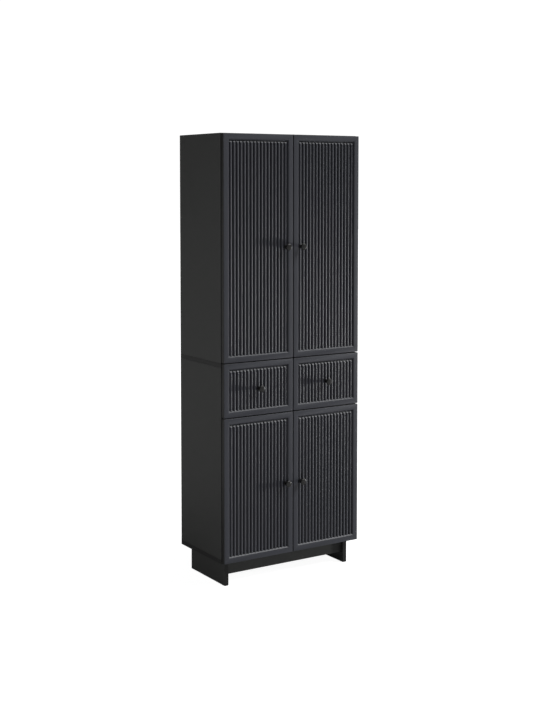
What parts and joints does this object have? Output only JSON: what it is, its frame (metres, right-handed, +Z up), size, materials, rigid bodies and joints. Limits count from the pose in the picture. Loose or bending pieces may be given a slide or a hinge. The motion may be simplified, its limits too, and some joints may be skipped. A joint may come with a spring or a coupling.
{
  "type": "pantry cabinet",
  "caption": "Tall two-module pantry cabinet with framed reeded doors above and below a row of drawers, round knobs and a raised base.",
  "frame": {"origin": "on the floor, under the middle of the cabinet's overall box", "axes": "+Z up, fronts of the doors face -Y, +X to the right for someone facing the cabinet's front"},
  "size_m": [0.65, 0.38, 1.8],
  "materials": {
    "carcass_board": "charcoal laminated board, satin, darker edge bands",
    "front_lacquer": "charcoal lacquered board, satin",
    "back_panel": "charcoal hardboard, matt",
    "drawer_box_board": "charcoal laminated board, matt",
    "knob_metal": "black powder coat, satin",
    "plated_steel": "nickel or zinc plated pressed steel",
    "soft_plastic": "soft matt plastic"
  },
  "bodies": {
    "carcass": {"base_apron": "carcass_board", "base_back_rail": "carcass_board", "cabinet_runners": "plated_steel", "cam_locks": "plated_steel", "door_bumpers": "soft_plastic", "drawer_deck": "carcass_board", "drawer_divider": "carcass_board", "foot_glides": "soft_plastic", "left_foot": "carcass_board", "lower_back": "back_panel", "lower_bottom": "carcass_board", "lower_hinge_arms": "plated_steel", "lower_left_side": "carcass_board", "lower_right_side": "carcass_board", "lower_shelf": "carcass_board", "lower_top": "carcass_board", "module_bolts": "plated_steel", "right_foot": "carcass_board", "shelf_pins": "plated_steel", "upper_back": "back_panel", "upper_bottom": "carcass_board", "upper_hinge_arms": "plated_steel", "upper_left_side": "carcass_board", "upper_right_side": "carcass_board", "upper_shelf_high": "carcass_board", "upper_shelf_low": "carcass_board", "upper_shelf_middle": "carcass_board", "upper_top": "carcass_board", "wall_rail": "carcass_board"},
    "upper_left_door": {"upper_left_door_frame": "front_lacquer", "upper_left_door_hinge_cups": "plated_steel", "upper_left_door_knob": "knob_metal", "upper_left_door_panel": "front_lacquer"},
    "upper_right_door": {"upper_right_door_frame": "front_lacquer", "upper_right_door_hinge_cups": "plated_steel", "upper_right_door_knob": "knob_metal", "upper_right_door_panel": "front_lacquer"},
    "lower_left_door": {"lower_left_door_frame": "front_lacquer", "lower_left_door_hinge_cups": "plated_steel", "lower_left_door_knob": "knob_metal", "lower_left_door_panel": "front_lacquer"},
    "lower_right_door": {"lower_right_door_frame": "front_lacquer", "lower_right_door_hinge_cups": "plated_steel", "lower_right_door_knob": "knob_metal", "lower_right_door_panel": "front_lacquer"},
    "left_drawer": {"left_drawer_bottom": "drawer_box_board", "left_drawer_ends": "drawer_box_board", "left_drawer_frame": "front_lacquer", "left_drawer_knob": "knob_metal", "left_drawer_panel": "front_lacquer", "left_drawer_runners": "plated_steel", "left_drawer_sides": "drawer_box_board"},
    "right_drawer": {"right_drawer_bottom": "drawer_box_board", "right_drawer_ends": "drawer_box_board", "right_drawer_frame": "front_lacquer", "right_drawer_knob": "knob_metal", "right_drawer_panel": "front_lacquer", "right_drawer_runners": "plated_steel", "right_drawer_sides": "drawer_box_board"}
  },
  "joints": [
    {"name": "upper_left_door_hinge", "type": "hinge", "parent": "carcass", "child": "upper_left_door", "pos_m": [-0.319, -0.154, 1.35], "axis": [0, 0, -1], "range_deg": [0, 105]},
    {"name": "upper_right_door_hinge", "type": "hinge", "parent": "carcass", "child": "upper_right_door", "pos_m": [0.319, -0.154, 1.35], "axis": [0, 0, 1], "range_deg": [0, 105]},
    {"name": "lower_left_door_hinge", "type": "hinge", "parent": "carcass", "child": "lower_left_door", "pos_m": [-0.319, -0.154, 0.39275], "axis": [0, 0, -1], "range_deg": [0, 105]},
    {"name": "lower_right_door_hinge", "type": "hinge", "parent": "carcass", "child": "lower_right_door", "pos_m": [0.319, -0.154, 0.39275], "axis": [0, 0, 1], "range_deg": [0, 105]},
    {"name": "left_drawer_slide", "type": "slide", "parent": "carcass", "child": "left_drawer", "axis": [0, -1, 0], "range_m": [0, 0.21]},
    {"name": "right_drawer_slide", "type": "slide", "parent": "carcass", "child": "right_drawer", "axis": [0, -1, 0], "range_m": [0, 0.21]}
  ]
}
